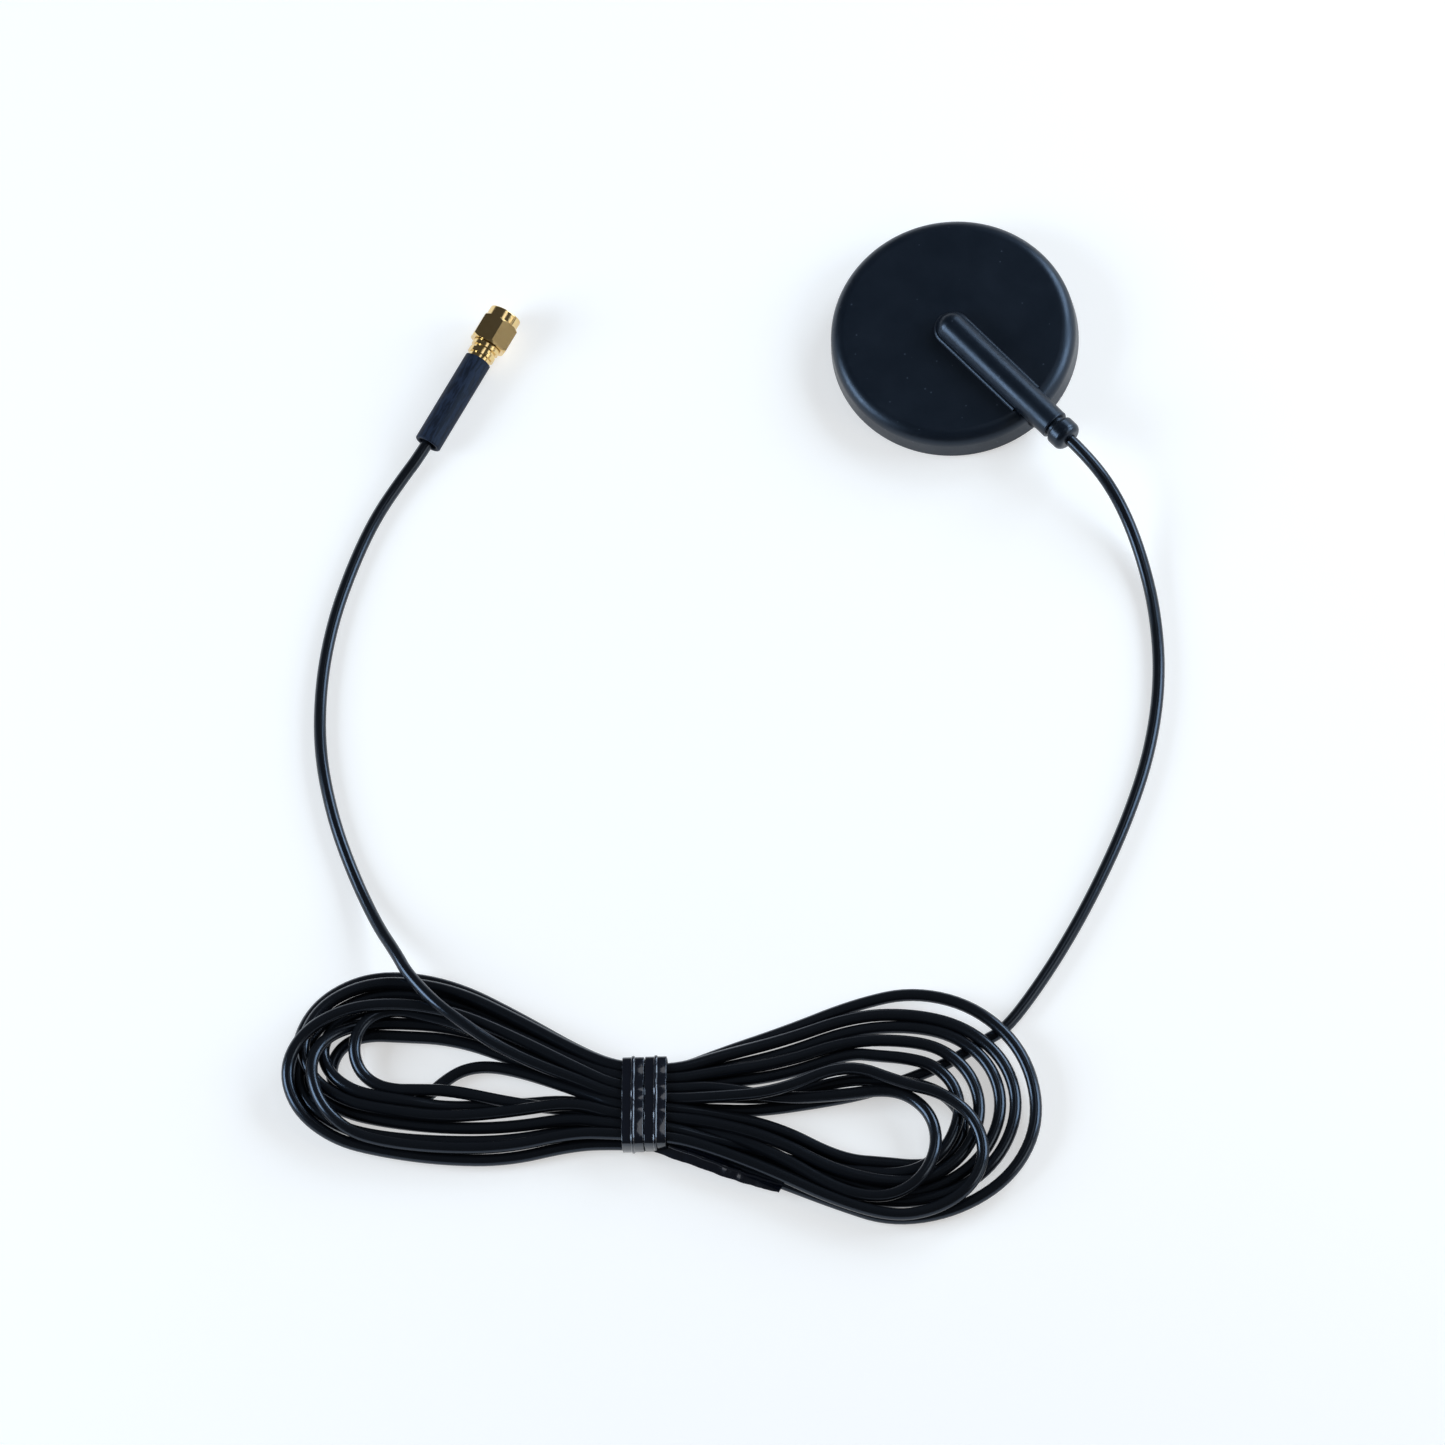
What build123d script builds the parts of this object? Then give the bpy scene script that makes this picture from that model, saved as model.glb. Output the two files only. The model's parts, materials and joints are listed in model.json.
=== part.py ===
from build123d import *
import math
import os

# Low-profile cellular antenna: a moulded disc, its thin coaxial lead tied in a hank, and a screw-on
# coaxial plug. Millimetres. The origin is the centre of the disc's mounting face, +Z is up, and +X
# runs along the moulded cable channel towards the place where the lead leaves the disc.

os.makedirs("parts", exist_ok=True)

# Disc
puck_r = 27.1
puck_h = 8.1
rim_lean = 0.5
rim_round = 3.0
foot_round = 0.4
cover_wall = 1.6
skirt_wall = 1.9
skirt_lift = 0.7
pad_t = 1.0
pad_margin = 0.4
base_t = 1.4
base_fit = 0.08
standoff_h = 1.0

# Cable channel on the disc
channel_r = 3.37
channel_rise = 0.96
channel_overhang = 5.9
channel_len = 33.0
channel_bore_r = 2.2
channel_foot = 0.75
channel_rim_round = 0.35
throat_inset = 6.6
web_w = 5.2
web_drop = 2.2
web_reach = 3.4

# Board and its screws
board_t = 0.8
board_margin = 1.4
copper_t = 0.1
ring_w = 8.2
ring_gap_deg = 34.0
feed_w = 3.2
ground_len = 7.0
ground_w = 9.0
ground_shift = 0.8
screw_count = 3
screw_inset = 4.2
screw_first_deg = 60.0
screw_r = 0.95
screw_head_r = 1.9
screw_head_h = 0.95
screw_len = 4.9
screw_hole_fit = 0.25
pilot_fit = 0.05
boss_r = 2.1
recess_w = 0.5
recess_depth = 0.6

# Coaxial lead
cable_r = 1.35
braid_r = 1.0
dielectric_r = 0.76
core_r = 0.24
skin_fit = 0.02
feed_level_inset = 1.0
feed_slope_run = 10.5
feed_flat_run = 3.8
feed_bend_r = 13.5
braid_strip = 2.6
dielectric_strip = 1.4
core_strip = 2.0
core_bend_r = 0.6
solder_h = 0.9
solder_r = 1.5

# Strain relief in the channel's mouth
relief_neck_len = 0.9
relief_neck_r = 2.6
relief_bead_len = 3.9
relief_bead_r = 3.45
relief_nose_round = 1.5
relief_back_round = 0.6
relief_shank_len = 8.5
relief_fit = 0.03
stop_len = 2.8
stop_gap = 0.3
stop_wall = 0.6

# Plug: lengths are counted along its axis from the mouth of the sleeve
sleeve_len = 22.1
sleeve_r = 3.0
sleeve_bore_r = 2.1
sleeve_mouth_round = 0.3
jacket_end = 13.0
exit_len = 2.0
ferrule_start = 14.4
ferrule_r = 2.0
ferrule_bore_r = 1.52
ferrule_lip_r = 2.6
ferrule_lip_len = 0.8
stem_start = 15.6
stem_r = 1.15
stem_bore_r = 0.82
collar_len = 1.0
groove_len = 0.8
collar_r = 3.1
groove_r = 2.65
flange_r = 3.2
flange_len = 1.1
seat_gap = 0.1
nut_sides = 6
nut_af = 8.0
nut_turn_deg = -11.0
nut_hex_len = 5.9
nut_chamfer_r = 4.1
nut_chamfer_len = 0.55
nut_collar_r = 3.7
nut_collar_len = 2.35
nut_lip_round = 0.3
thread_r = 2.83
thread_len = 4.3
thread_lead_in = 0.3
relieved_r = 3.25
nut_back_wall = 1.8
neck_r = 2.6
neck_fit = 0.06
ring_t = 0.5
ring_inner_r = 2.25
ring_outer_r = 3.1
ring_opening = 1.6
shoulder_len = 0.45
nose_r = 2.295
nose_recess = 3.2
gasket_t = 0.75
gasket_r = 3.05
insulator_r = 2.05
insulator_len = 6.0
pin_shank_r = 0.635
pin_r = 0.457
pin_reach = 2.0
pin_back = 0.5
pin_solder_depth = 1.8
rest_gap = 0.02

# Where the plug lies, and the free lead's route on the table
mouth_x = -62.6
mouth_y = -98.93
plug_heading = 107.0

# Hank: across the table along its own length u and width v, from the middle of the tie
hank_x = 86.3
hank_y = -171.7
hank_heading = 41.9
hank_layers = 2.4
hank_round = 2.0
hank_outline = [
    (-80.9, 5.5), (-76.0, 19.5), (-56.0, 29.4), (-34.0, 23.2), (-12.0, 13.2), (0.0, 10.4),
    (14.0, 15.6), (33.0, 25.2), (56.0, 31.5), (76.0, 24.6), (86.2, 4.0), (77.5, -16.6),
    (57.0, -24.0), (38.0, -18.4), (22.0, -11.8), (9.0, -9.0), (0.0, -9.9), (-15.0, -11.3),
    (-42.0, -16.7), (-66.0, -12.0),
]
left_window = [(-69.0, 8.0), (-58.0, 13.0), (-40.0, 9.5), (-22.0, 3.2), (-40.0, 0.4), (-60.0, 1.5)]
right_window = [(26.5, 1.0), (42.0, 7.2), (57.0, 11.0), (62.5, 2.0), (56.0, -4.5), (42.0, -4.2)]

# Tie: a flat plastic-covered wire wound twice round the hank's waist and twisted
tie_t = 0.55
tie_w = 4.6
tie_gap = 0.5
tie_waist_v = 10.3
tie_corner = 2.6
tail_len = 27.0
tail_w = 4.4
tail_t = 0.9
tail_heading = -18.0
tail_leans = [(0.0, 78.0), (0.3, 62.0), (0.62, 30.0), (1.0, 14.0)]

# Worked out from the values above
deg = math.pi / 180
cavity_top = puck_h - cover_wall
cavity_r = puck_r - skirt_wall
base_top = pad_t + base_t
board_z = base_top + standoff_h
board_top = board_z + board_t
board_r = cavity_r - board_margin
screw_pitch_r = board_r - screw_inset
channel_axis_z = puck_h + channel_rise
channel_end = puck_r + channel_overhang
channel_start = channel_end - channel_len
throat_end = puck_r - throat_inset
relief_neck_end = channel_end + relief_neck_len
relief_end = relief_neck_end + relief_bead_len
feed_z = board_top + copper_t + cable_r + skin_fit
feed_level_x = throat_end - feed_level_inset
feed_drop_x = feed_level_x - feed_slope_run
feed_jacket_x = feed_drop_x - feed_flat_run
ground_x = feed_jacket_x - ground_shift
collar_start = sleeve_len + collar_len
groove_start = collar_start + collar_len
flange_start = groove_start + groove_len
flange_end = flange_start + flange_len
nut_start = flange_end + seat_gap
nut_hex_end = nut_start + nut_hex_len
nut_end = nut_hex_end + nut_collar_len
thread_start = nut_end - thread_len
nut_ledge = nut_start + nut_back_wall
ring_start = nut_ledge + seat_gap
ring_end = ring_start + ring_t
shoulder_end = ring_end + seat_gap + shoulder_len
nose_end = nut_end - nose_recess
pin_end = nose_end + pin_reach
pin_start = nose_end - insulator_len - pin_back
nut_half_side = 180 / nut_sides
nut_corner_r = nut_af / 2 / math.cos(nut_half_side * deg)
corner_off = abs((90 - nut_turn_deg + nut_half_side) % (2 * nut_half_side) - nut_half_side)
nut_low = nut_corner_r * math.cos(corner_off * deg)
plug_pitch = math.atan((nut_low - sleeve_r) / nut_start)
mouth_z = (sleeve_r + rest_gap) * math.cos(plug_pitch)
plug_dir = Vector(
    math.cos(plug_heading * deg) * math.cos(plug_pitch),
    math.sin(plug_heading * deg) * math.cos(plug_pitch),
    math.sin(plug_pitch),
)
plug_side = Vector(math.cos((plug_heading - 90) * deg), math.sin((plug_heading - 90) * deg), 0)
plug_mouth = Vector(mouth_x, mouth_y, mouth_z)
plug_at = Plane(origin=plug_mouth, x_dir=plug_side, z_dir=plug_dir).location
hank_at = Location((hank_x, hank_y, 0), (0, 0, hank_heading))
hank_h = hank_layers * 2 * cable_r
waist_h = hank_h - tie_t
tie_reach = tie_w + tie_gap / 2

# Route of the lead from the strain relief to the hank, and from the hank to the plug
antenna_route = [
    (relief_end, 0.0, channel_axis_z),
    (45.0, 0.0, channel_axis_z),
    (54.7, -1.4, 6.2),
    (65.5, -5.5, 2.4),
    (78.3, -12.9, cable_r),
    (90.9, -23.3, cable_r),
    (101.6, -36.3, cable_r),
    (110.2, -51.3, cable_r),
    (117.3, -67.3, cable_r),
    (122.5, -81.8, cable_r),
    (126.1, -95.3, cable_r),
    (127.5, -103.8, cable_r),
]
connector_route = [
    (28.5, -188.3, 6.9),
    (22.6, -186.5, 6.0),
    (13.9, -184.3, 3.2),
    (0.8, -179.5, cable_r),
    (-12.4, -173.5, cable_r),
    (-26.0, -164.9, cable_r),
    (-37.5, -153.9, cable_r),
    (-46.6, -142.0, cable_r),
    (-53.5, -129.5, cable_r),
    (-58.2, -118.6, 1.5),
    (-60.7, -108.7, 1.9),
]


def spun(points):
    """Solid of revolution about the local Z axis from a closed outline of (radius, height)."""
    face = make_face(Polyline([(r, 0, z) for r, z in points], close=True))
    return revolve(face, Axis.Z, 360)


def tube(outer_r, inner_r, start, end):
    """Round tube along the local Z axis."""
    return spun([(inner_r, start), (outer_r, start), (outer_r, end), (inner_r, end)])


def rod(radius, start, end):
    """Round rod along the local Z axis."""
    return spun([(0, start), (radius, start), (radius, end), (0, end)])


def along_x(shape, z):
    """Lay a shape made about the local Z axis along +X at a height."""
    return Location((0, 0, z), (0, 90, 0)) * shape


def swept(points, radii, section_r):
    """Round tube along straight runs joined by tangent arcs."""
    path = FilletPolyline(points, radius=radii)
    start = Plane(origin=path @ 0, z_dir=path % 0)
    return sweep(start * Circle(section_r), path=path), path.length


def corner_radii(points):
    """Largest tangent arc at each corner: 0.45 of the shorter run over the tangent of half the turn."""
    radii = []
    for a, b, c in zip(points, points[1:], points[2:]):
        before = Vector(*b) - Vector(*a)
        after = Vector(*c) - Vector(*b)
        half_turn = before.get_angle(after) / 2 * deg
        radii.append(0.45 * min(before.length, after.length) / math.tan(half_turn))
    return radii


def screw_places():
    """Centres of the screws round the disc."""
    step = 360 / screw_count
    angles = [(screw_first_deg + step * i) * deg for i in range(screw_count)]
    return [Location((screw_pitch_r * math.cos(a), screw_pitch_r * math.sin(a), 0)) for a in angles]


def top_cover():
    """Moulded cover: a shallow cup with a rounded rim and a cable channel that overhangs it."""
    outline = [(0, skirt_lift), (puck_r, skirt_lift), (puck_r - rim_lean, puck_h), (0, puck_h)]
    cup = spun(outline)
    rims = cup.edges().filter_by(GeomType.CIRCLE).sort_by(Axis.Z)
    cup = fillet(rims[-1], rim_round)
    rims = cup.edges().filter_by(GeomType.CIRCLE).sort_by(Axis.Z)
    cup = fillet(rims[0], foot_round)

    barrel = along_x(rod(channel_r, channel_start, channel_end), channel_axis_z)
    mouth = barrel.edges().filter_by(GeomType.CIRCLE).sort_by(Axis.X)[-1]
    barrel = fillet(mouth, channel_rim_round)
    nose = Location((channel_start, 0, channel_axis_z)) * Sphere(channel_r)

    with BuildLine(Plane.XZ) as edge:
        side = Line((channel_r, channel_axis_z), (channel_r, puck_h + channel_foot))
        foot_end = (channel_r + channel_foot, cavity_top)
        curve = RadiusArc(side @ 1, (channel_r + channel_foot, puck_h), channel_foot)
        Polyline(curve @ 1, foot_end, (0, cavity_top), (0, channel_axis_z), side @ 0)
    half_section = make_face(edge.line)
    end_foot = Location((channel_start, 0, 0)) * revolve(half_section, Axis.Z, 360)
    half_at_x = Location((channel_start, 0, 0), (0, 0, 90)) * half_section
    straight_len = puck_r - rim_round - rim_lean - channel_start
    far_foot = extrude(half_at_x, straight_len, dir=(1, 0, 0))
    near_foot = mirror(far_foot, Plane.XZ)
    skirt_len = puck_r - skirt_wall - channel_start
    walls = Location((channel_start + skirt_len / 2, 0, (cavity_top + channel_axis_z) / 2)) * Box(
        skirt_len, 2 * channel_r, channel_axis_z - cavity_top
    )

    web_x = puck_r - skirt_wall
    low = channel_axis_z - channel_r
    with BuildLine(Plane.XZ) as rib:
        start = Line((web_x, channel_axis_z), (web_x, low - web_drop))
        flat = Line(start @ 1, (puck_r - rim_lean, low - web_drop))
        slope = Spline(
            flat @ 1, (puck_r + web_reach, low + channel_foot),
            tangents=((1, 0.35), (1, 0.25)),
        )
        Polyline(slope @ 1, (puck_r + web_reach, channel_axis_z), start @ 0)
    web = extrude(make_face(rib.line), web_w / 2, both=True)

    body = cup + barrel + nose + end_foot + far_foot + near_foot + walls + web
    cavity = rod(cavity_r, skirt_lift - 1, cavity_top)
    boss = rod(boss_r, board_top, cavity_top + cover_wall / 2)
    pilot = rod(screw_r + pilot_fit, board_z, pad_t + screw_len + pilot_fit)
    bosses = [place * boss for place in screw_places()]
    pilots = [place * pilot for place in screw_places()]
    bore = along_x(rod(channel_bore_r, channel_start, channel_end + 1), channel_axis_z)
    throat_x = (channel_start + throat_end) / 2
    throat = Location((throat_x, 0, (cavity_top + channel_axis_z) / 2)) * Box(
        throat_end - channel_start, 2 * channel_bore_r, channel_axis_z - cavity_top
    )
    return body - cavity - bore - throat + bosses - pilots


def base_cover():
    """Moulded base: a disc with a standoff round each countersunk screw hole."""
    base = rod(cavity_r - base_fit, pad_t, base_top)
    hole_r = screw_r + screw_hole_fit
    for place in screw_places():
        base += place * rod(boss_r, pad_t, board_z)
    for place in screw_places():
        base -= place * rod(hole_r, pad_t - 1, board_z + 1)
        sink_r = screw_head_r + pilot_fit
        base -= place * spun([
            (0, pad_t - pilot_fit), (sink_r, pad_t - pilot_fit), (sink_r, pad_t + pilot_fit),
            (hole_r, pad_t + screw_head_h + pilot_fit), (0, pad_t + screw_head_h + pilot_fit),
        ])
    return base


def adhesive_pad():
    """Round foam pad under the base."""
    return rod(cavity_r - pad_margin, 0, pad_t)


def antenna_board():
    """Round circuit board held between the base's standoffs and the cover's bosses."""
    board = rod(board_r, board_z, board_top)
    holes = [place * rod(screw_r + screw_hole_fit, board_z - 1, board_top + 1) for place in screw_places()]
    return board - holes


def radiator_trace():
    """Copper radiator: a broken ring round the board, joined to the middle by a feed strip."""
    outer_r = board_r - copper_t * 8
    ring = Circle(outer_r) - Circle(outer_r - ring_w)
    gap_len = outer_r * math.tan(ring_gap_deg / 2 * deg)
    ring -= Polygon((0, 0), (outer_r * 2, -gap_len * 2), (outer_r * 2, gap_len * 2), align=None)
    strip_end = core_end()[0] + core_strip / 2
    strip_len = outer_r - ring_w / 2 + strip_end
    ring += Location((strip_end - strip_len / 2, 0)) * Rectangle(strip_len, feed_w)
    clear_r = boss_r + copper_t * 8
    for place in screw_places():
        ring -= place * Circle(clear_r)
    return extrude(Location((0, 0, board_top)) * ring, copper_t)


def ground_pad():
    """Copper ground pad under the lead's braid."""
    outline = Location((ground_x, 0, board_top)) * Rectangle(ground_len, ground_w)
    return extrude(outline, copper_t)


def board_screws():
    """Countersunk screws with a cross recess, all in one group."""
    head_end = pad_t + screw_head_h
    tip = pad_t + screw_len
    shape = spun([
        (0, pad_t), (screw_head_r, pad_t), (screw_r, head_end), (screw_r, tip - screw_r),
        (screw_r / 4, tip), (0, tip),
    ])
    for turn in (0, 90):
        arm = Box(2 * screw_r, recess_w, 2 * recess_depth)
        shape -= Location((0, 0, pad_t), (0, 0, turn)) * arm
    return Compound(children=[place * copy_of(shape) for place in screw_places()])


def copy_of(shape):
    """Separate copy of a solid."""
    return Solid(shape.solid().wrapped)


def feed_points():
    """Centre line of the lead inside the disc, from the strain relief to the end of its jacket."""
    return [
        (relief_end, 0, channel_axis_z),
        (feed_level_x, 0, channel_axis_z),
        (feed_drop_x, 0, feed_z),
        (feed_jacket_x, 0, feed_z),
    ]


def feed_jacket():
    """Jacketed lead inside the channel."""
    solid, length = swept(feed_points(), [feed_bend_r, feed_bend_r], cable_r)
    return solid


def feed_braid():
    """Bared braid over the ground pad."""
    start = feed_jacket_x - braid_strip
    return along_x(tube(braid_r, dielectric_r + skin_fit, start, feed_jacket_x), feed_z)


def feed_dielectric():
    """Bared dielectric."""
    start = feed_jacket_x - braid_strip - dielectric_strip
    return along_x(tube(dielectric_r, core_r + skin_fit, start, feed_jacket_x), feed_z)


def core_end():
    """Place where the bared core touches the feed strip."""
    start = feed_jacket_x - braid_strip - dielectric_strip
    return start - core_strip, board_top + copper_t + core_r


def feed_core():
    """Bare core, bent down to the feed strip."""
    end_x, end_z = core_end()
    half = core_strip / 2
    points = [
        (feed_jacket_x, 0, feed_z), (end_x + half * 1.6, 0, feed_z),
        (end_x + half * 0.3, 0, end_z), (end_x - half, 0, end_z),
    ]
    solid, length = swept(points, [core_bend_r, core_bend_r], core_r)
    return solid


def solder_joints():
    """Domed solder on the core's end and on both sides of the braid."""
    end_x, end_z = core_end()
    dome_r = (solder_h ** 2 + solder_r ** 2) / (2 * solder_h)
    dome = Sphere(dome_r) - Location((0, 0, -dome_r - solder_h)) * Box(4 * dome_r, 4 * dome_r, 4 * dome_r)
    on_copper = board_top + copper_t + solder_h - dome_r
    core_dome = Location((end_x - core_strip / 4, 0, on_copper)) * dome
    core_dome -= feed_core()
    braid_x = feed_jacket_x - braid_strip / 2
    wire = along_x(rod(braid_r, end_x, relief_end), feed_z)
    braid_domes = [Location((braid_x, side * braid_r, on_copper)) * dome - wire for side in (-1, 1)]
    joined = braid_domes[0] + braid_domes[1]
    return Compound(children=[core_dome.solid()] + list(joined.solids()))


def cable_stop():
    """Crimped collar on the lead behind the strain relief."""
    end = channel_end - relief_shank_len - stop_gap
    inner = cable_r + skin_fit
    return along_x(tube(inner + stop_wall, inner, end - stop_len, end), channel_axis_z)


def strain_relief():
    """Rubber strain relief: a shank in the channel, a narrow neck and a rounded bead outside."""
    inner = cable_r + skin_fit
    shank_r = channel_bore_r - relief_fit
    shape = spun([
        (inner, channel_end - relief_shank_len), (shank_r, channel_end - relief_shank_len),
        (shank_r, channel_end + skin_fit), (relief_neck_r, channel_end + skin_fit),
        (relief_neck_r, relief_neck_end), (relief_bead_r, relief_neck_end),
        (relief_bead_r, relief_end), (inner, relief_end),
    ])
    rims = shape.edges().filter_by(GeomType.CIRCLE)
    bead = rims.filter_by(lambda e: abs(e.radius - relief_bead_r) < skin_fit).sort_by(Axis.Z)
    shape = fillet(bead[-1], relief_nose_round)
    rims = shape.edges().filter_by(GeomType.CIRCLE)
    bead = rims.filter_by(lambda e: abs(e.radius - relief_bead_r) < skin_fit).sort_by(Axis.Z)
    shape = fillet(bead[0], relief_back_round)
    return along_x(shape, channel_axis_z)


def heat_shrink():
    """Shrunk sleeve over the ferrule, a little loose where the lead enters."""
    shape = tube(sleeve_r, sleeve_bore_r, 0, sleeve_len)
    mouth = shape.edges().filter_by(GeomType.CIRCLE).sort_by(Axis.Z)[:2]
    return plug_at * fillet(mouth, sleeve_mouth_round)


def crimp_ferrule():
    """Crimped ferrule over the braid, with a lip against the plug's body."""
    lip_end = collar_start - skin_fit
    lip_start = lip_end - ferrule_lip_len
    return plug_at * spun([
        (ferrule_bore_r, ferrule_start), (ferrule_r, ferrule_start), (ferrule_r, lip_start),
        (ferrule_lip_r, lip_start), (ferrule_lip_r, lip_end), (ferrule_bore_r, lip_end),
    ])


def connector_body():
    """Turned body: crimp stem, grooved flange, neck inside the nut and the mating nose."""
    bore = insulator_r
    back = nose_end - insulator_len
    ring_groove_r = ring_inner_r - skin_fit
    return plug_at * spun([
        (stem_bore_r, stem_start), (stem_r, stem_start), (stem_r, collar_start),
        (collar_r, collar_start), (collar_r, groove_start), (groove_r, groove_start),
        (groove_r, flange_start), (flange_r, flange_start), (flange_r, flange_end),
        (neck_r, flange_end), (neck_r, ring_start - seat_gap / 2),
        (ring_groove_r, ring_start - seat_gap / 2), (ring_groove_r, ring_end + seat_gap),
        (neck_r, ring_end + seat_gap), (neck_r, shoulder_end), (nose_r, shoulder_end),
        (nose_r, nose_end), (bore, nose_end), (bore, back - skin_fit), (stem_bore_r, back - skin_fit),
    ])


def insulator():
    """White insulator round the centre pin."""
    back = nose_end - insulator_len
    return plug_at * tube(insulator_r - skin_fit, pin_shank_r + skin_fit, back, nose_end)


def center_pin():
    """Centre pin: a shank in the insulator, a thinner round-nosed tip and a hole for the core."""
    tip_round = pin_r * 0.6
    hole_r = core_r + skin_fit
    return plug_at * spun([
        (hole_r, pin_start), (pin_shank_r, pin_start), (pin_shank_r, nose_end), (pin_r, nose_end),
        (pin_r, pin_end - tip_round), (pin_r - tip_round, pin_end), (0, pin_end),
        (0, pin_start + pin_solder_depth), (hole_r, pin_start + pin_solder_depth),
    ])


def plug_dielectric():
    """Lead's dielectric inside the crimp stem."""
    return plug_at * tube(dielectric_r, core_r + skin_fit, jacket_end, pin_start - skin_fit)


def plug_core():
    """Lead's core, ending in the centre pin."""
    return plug_at * rod(core_r, jacket_end, pin_start + pin_solder_depth - skin_fit)


def plug_braid():
    """Lead's braid, spread over the crimp stem under the ferrule."""
    inner = dielectric_r + skin_fit
    over = stem_r + skin_fit
    skin = braid_r - dielectric_r
    flare = stem_start - skin_fit
    end = collar_start - skin_fit
    return plug_at * spun([
        (inner, jacket_end), (inner + skin, jacket_end), (ferrule_bore_r - skin_fit, flare),
        (ferrule_bore_r - skin_fit, end), (over, end), (over, flare), (inner, flare - skin),
    ])


def retaining_ring():
    """Open spring ring that holds the nut on the body."""
    shape = tube(ring_outer_r, ring_inner_r, ring_start, ring_end)
    cut = Box(2 * ring_outer_r, ring_opening, 4 * ring_t)
    return plug_at * (shape - Location((ring_outer_r, 0, ring_start)) * cut)


def gasket():
    """Soft sealing ring in front of the body's shoulder."""
    start = shoulder_end + skin_fit
    return plug_at * tube(gasket_r, nose_r + skin_fit, start, start + gasket_t)


def coupling_nut():
    """Coupling nut: hexagon with turned corners, round front collar, threaded bore and ring recess."""
    outline = Location((0, 0, nut_start)) * RegularPolygon(
        nut_af / 2, nut_sides, major_radius=False, rotation=nut_turn_deg
    )
    hexagon = extrude(outline, nut_hex_len)
    turned = spun([
        (0, nut_start), (nut_chamfer_r, nut_start), (nut_corner_r, nut_start + nut_chamfer_len),
        (nut_corner_r, nut_hex_end - nut_chamfer_len), (nut_chamfer_r, nut_hex_end), (0, nut_hex_end),
    ])
    collar = rod(nut_collar_r, nut_hex_end - nut_chamfer_len, nut_end)
    collar = fillet(collar.edges().filter_by(GeomType.CIRCLE).sort_by(Axis.Z)[-1], nut_lip_round)
    lead_r = thread_r + thread_lead_in
    bore = spun([
        (0, nut_start - 1), (neck_r + neck_fit, nut_start - 1), (neck_r + neck_fit, nut_ledge),
        (relieved_r, nut_ledge), (relieved_r, thread_start), (thread_r, thread_start),
        (thread_r, nut_end - thread_lead_in), (lead_r, nut_end), (lead_r, nut_end + 1), (0, nut_end + 1),
    ])
    return plug_at * ((hexagon & turned) + collar - bore)


def free_lead(points):
    """Lead along a route on the table, with its length and the radius of each bend."""
    radii = corner_radii(points)
    solid, length = swept(points, radii, cable_r)
    share = solid.volume / (math.pi * cable_r ** 2 * length)
    print("route", round(length, 1), "mm, volume share", round(share, 4))
    print("bend radii", [round(r, 1) for r in radii])
    return solid


def connector_end():
    """Last points of the lead, straight through the sleeve to the end of the jacket."""
    return [tuple(plug_mouth + plug_dir * s) for s in (-exit_len, jacket_end)]


def hank():
    """Outer shape of the tied hank, with a window in each lobe."""
    plate = extrude(make_face(Spline(hank_outline, periodic=True)), hank_h)
    plate = fillet(plate.edges().group_by(Axis.Z)[-1], hank_round)
    for window in (left_window, right_window):
        plate -= extrude(make_face(Spline(window, periodic=True)), hank_h * 3, both=True)
    around = Box(2 * tie_reach, 4 * tie_waist_v, 4 * hank_h)
    around -= extrude(Plane.YZ * waist_section(), 2 * tie_reach, both=True)
    return hank_at * (plate - around - tie_tail())


def waist_section():
    """Section of the hank under the tie."""
    return Location((0, tie_t + waist_h / 2)) * RectangleRounded(2 * tie_waist_v, waist_h, tie_corner)


def tie_tail():
    """Twisted tail of the tie: it leaves the wraps on edge and ends almost flat on the table."""
    run = Vector(math.cos(tail_heading * deg), math.sin(tail_heading * deg), 0)
    start = Vector(tie_w / 2 + tie_gap, -tie_waist_v + tie_t, 0)
    sections = []
    for share, lean in tail_leans:
        across = Vector(run.Y * math.cos(lean * deg), -run.X * math.cos(lean * deg), math.sin(lean * deg))
        rise = (tail_w * math.sin(lean * deg) + tail_t * math.cos(lean * deg)) / 2
        at = start + run * tail_len * share + Vector(0, 0, rise)
        sections.append(Plane(origin=at, x_dir=across, z_dir=run) * Rectangle(tail_w, tail_t))
    return loft(sections)


def twist_tie():
    """Flat tie wound twice round the waist, with its twisted tail laid beside the hank."""
    inner = waist_section()
    band = extrude(Plane.YZ * (offset(inner, tie_t) - inner), tie_w / 2, both=True)
    wraps = [Location(((tie_w + tie_gap) / 2 * side, 0, 0)) * band for side in (-1, 1)]
    bar = extrude(Plane.YZ * inner, 2 * tie_reach, both=True)
    bridge = Location((0, -tie_waist_v - tie_t / 2, hank_h / 2)) * Box(2 * tie_gap, tie_t, tie_w)
    return hank_at * (wraps[0] + wraps[1] + bridge + (tie_tail() - bar))


pieces = {
    "top_cover": top_cover,
    "base_cover": base_cover,
    "adhesive_pad": adhesive_pad,
    "antenna_board": antenna_board,
    "radiator_trace": radiator_trace,
    "ground_pad": ground_pad,
    "board_screws": board_screws,
    "feed_jacket": feed_jacket,
    "feed_braid": feed_braid,
    "feed_dielectric": feed_dielectric,
    "feed_core": feed_core,
    "solder_joints": solder_joints,
    "cable_stop": cable_stop,
    "strain_relief": strain_relief,
    "heat_shrink": heat_shrink,
    "crimp_ferrule": crimp_ferrule,
    "connector_body": connector_body,
    "insulator": insulator,
    "center_pin": center_pin,
    "plug_dielectric": plug_dielectric,
    "plug_core": plug_core,
    "plug_braid": plug_braid,
    "retaining_ring": retaining_ring,
    "gasket": gasket,
    "coupling_nut": coupling_nut,
    "cable_antenna_run": lambda: free_lead(antenna_route),
    "cable_hank": hank,
    "twist_tie": twist_tie,
    "cable_connector_run": lambda: free_lead(connector_route + connector_end()),
}

for name, make in pieces.items():
    export_step(make(), "parts/" + name + ".step")
    print(name)
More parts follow.
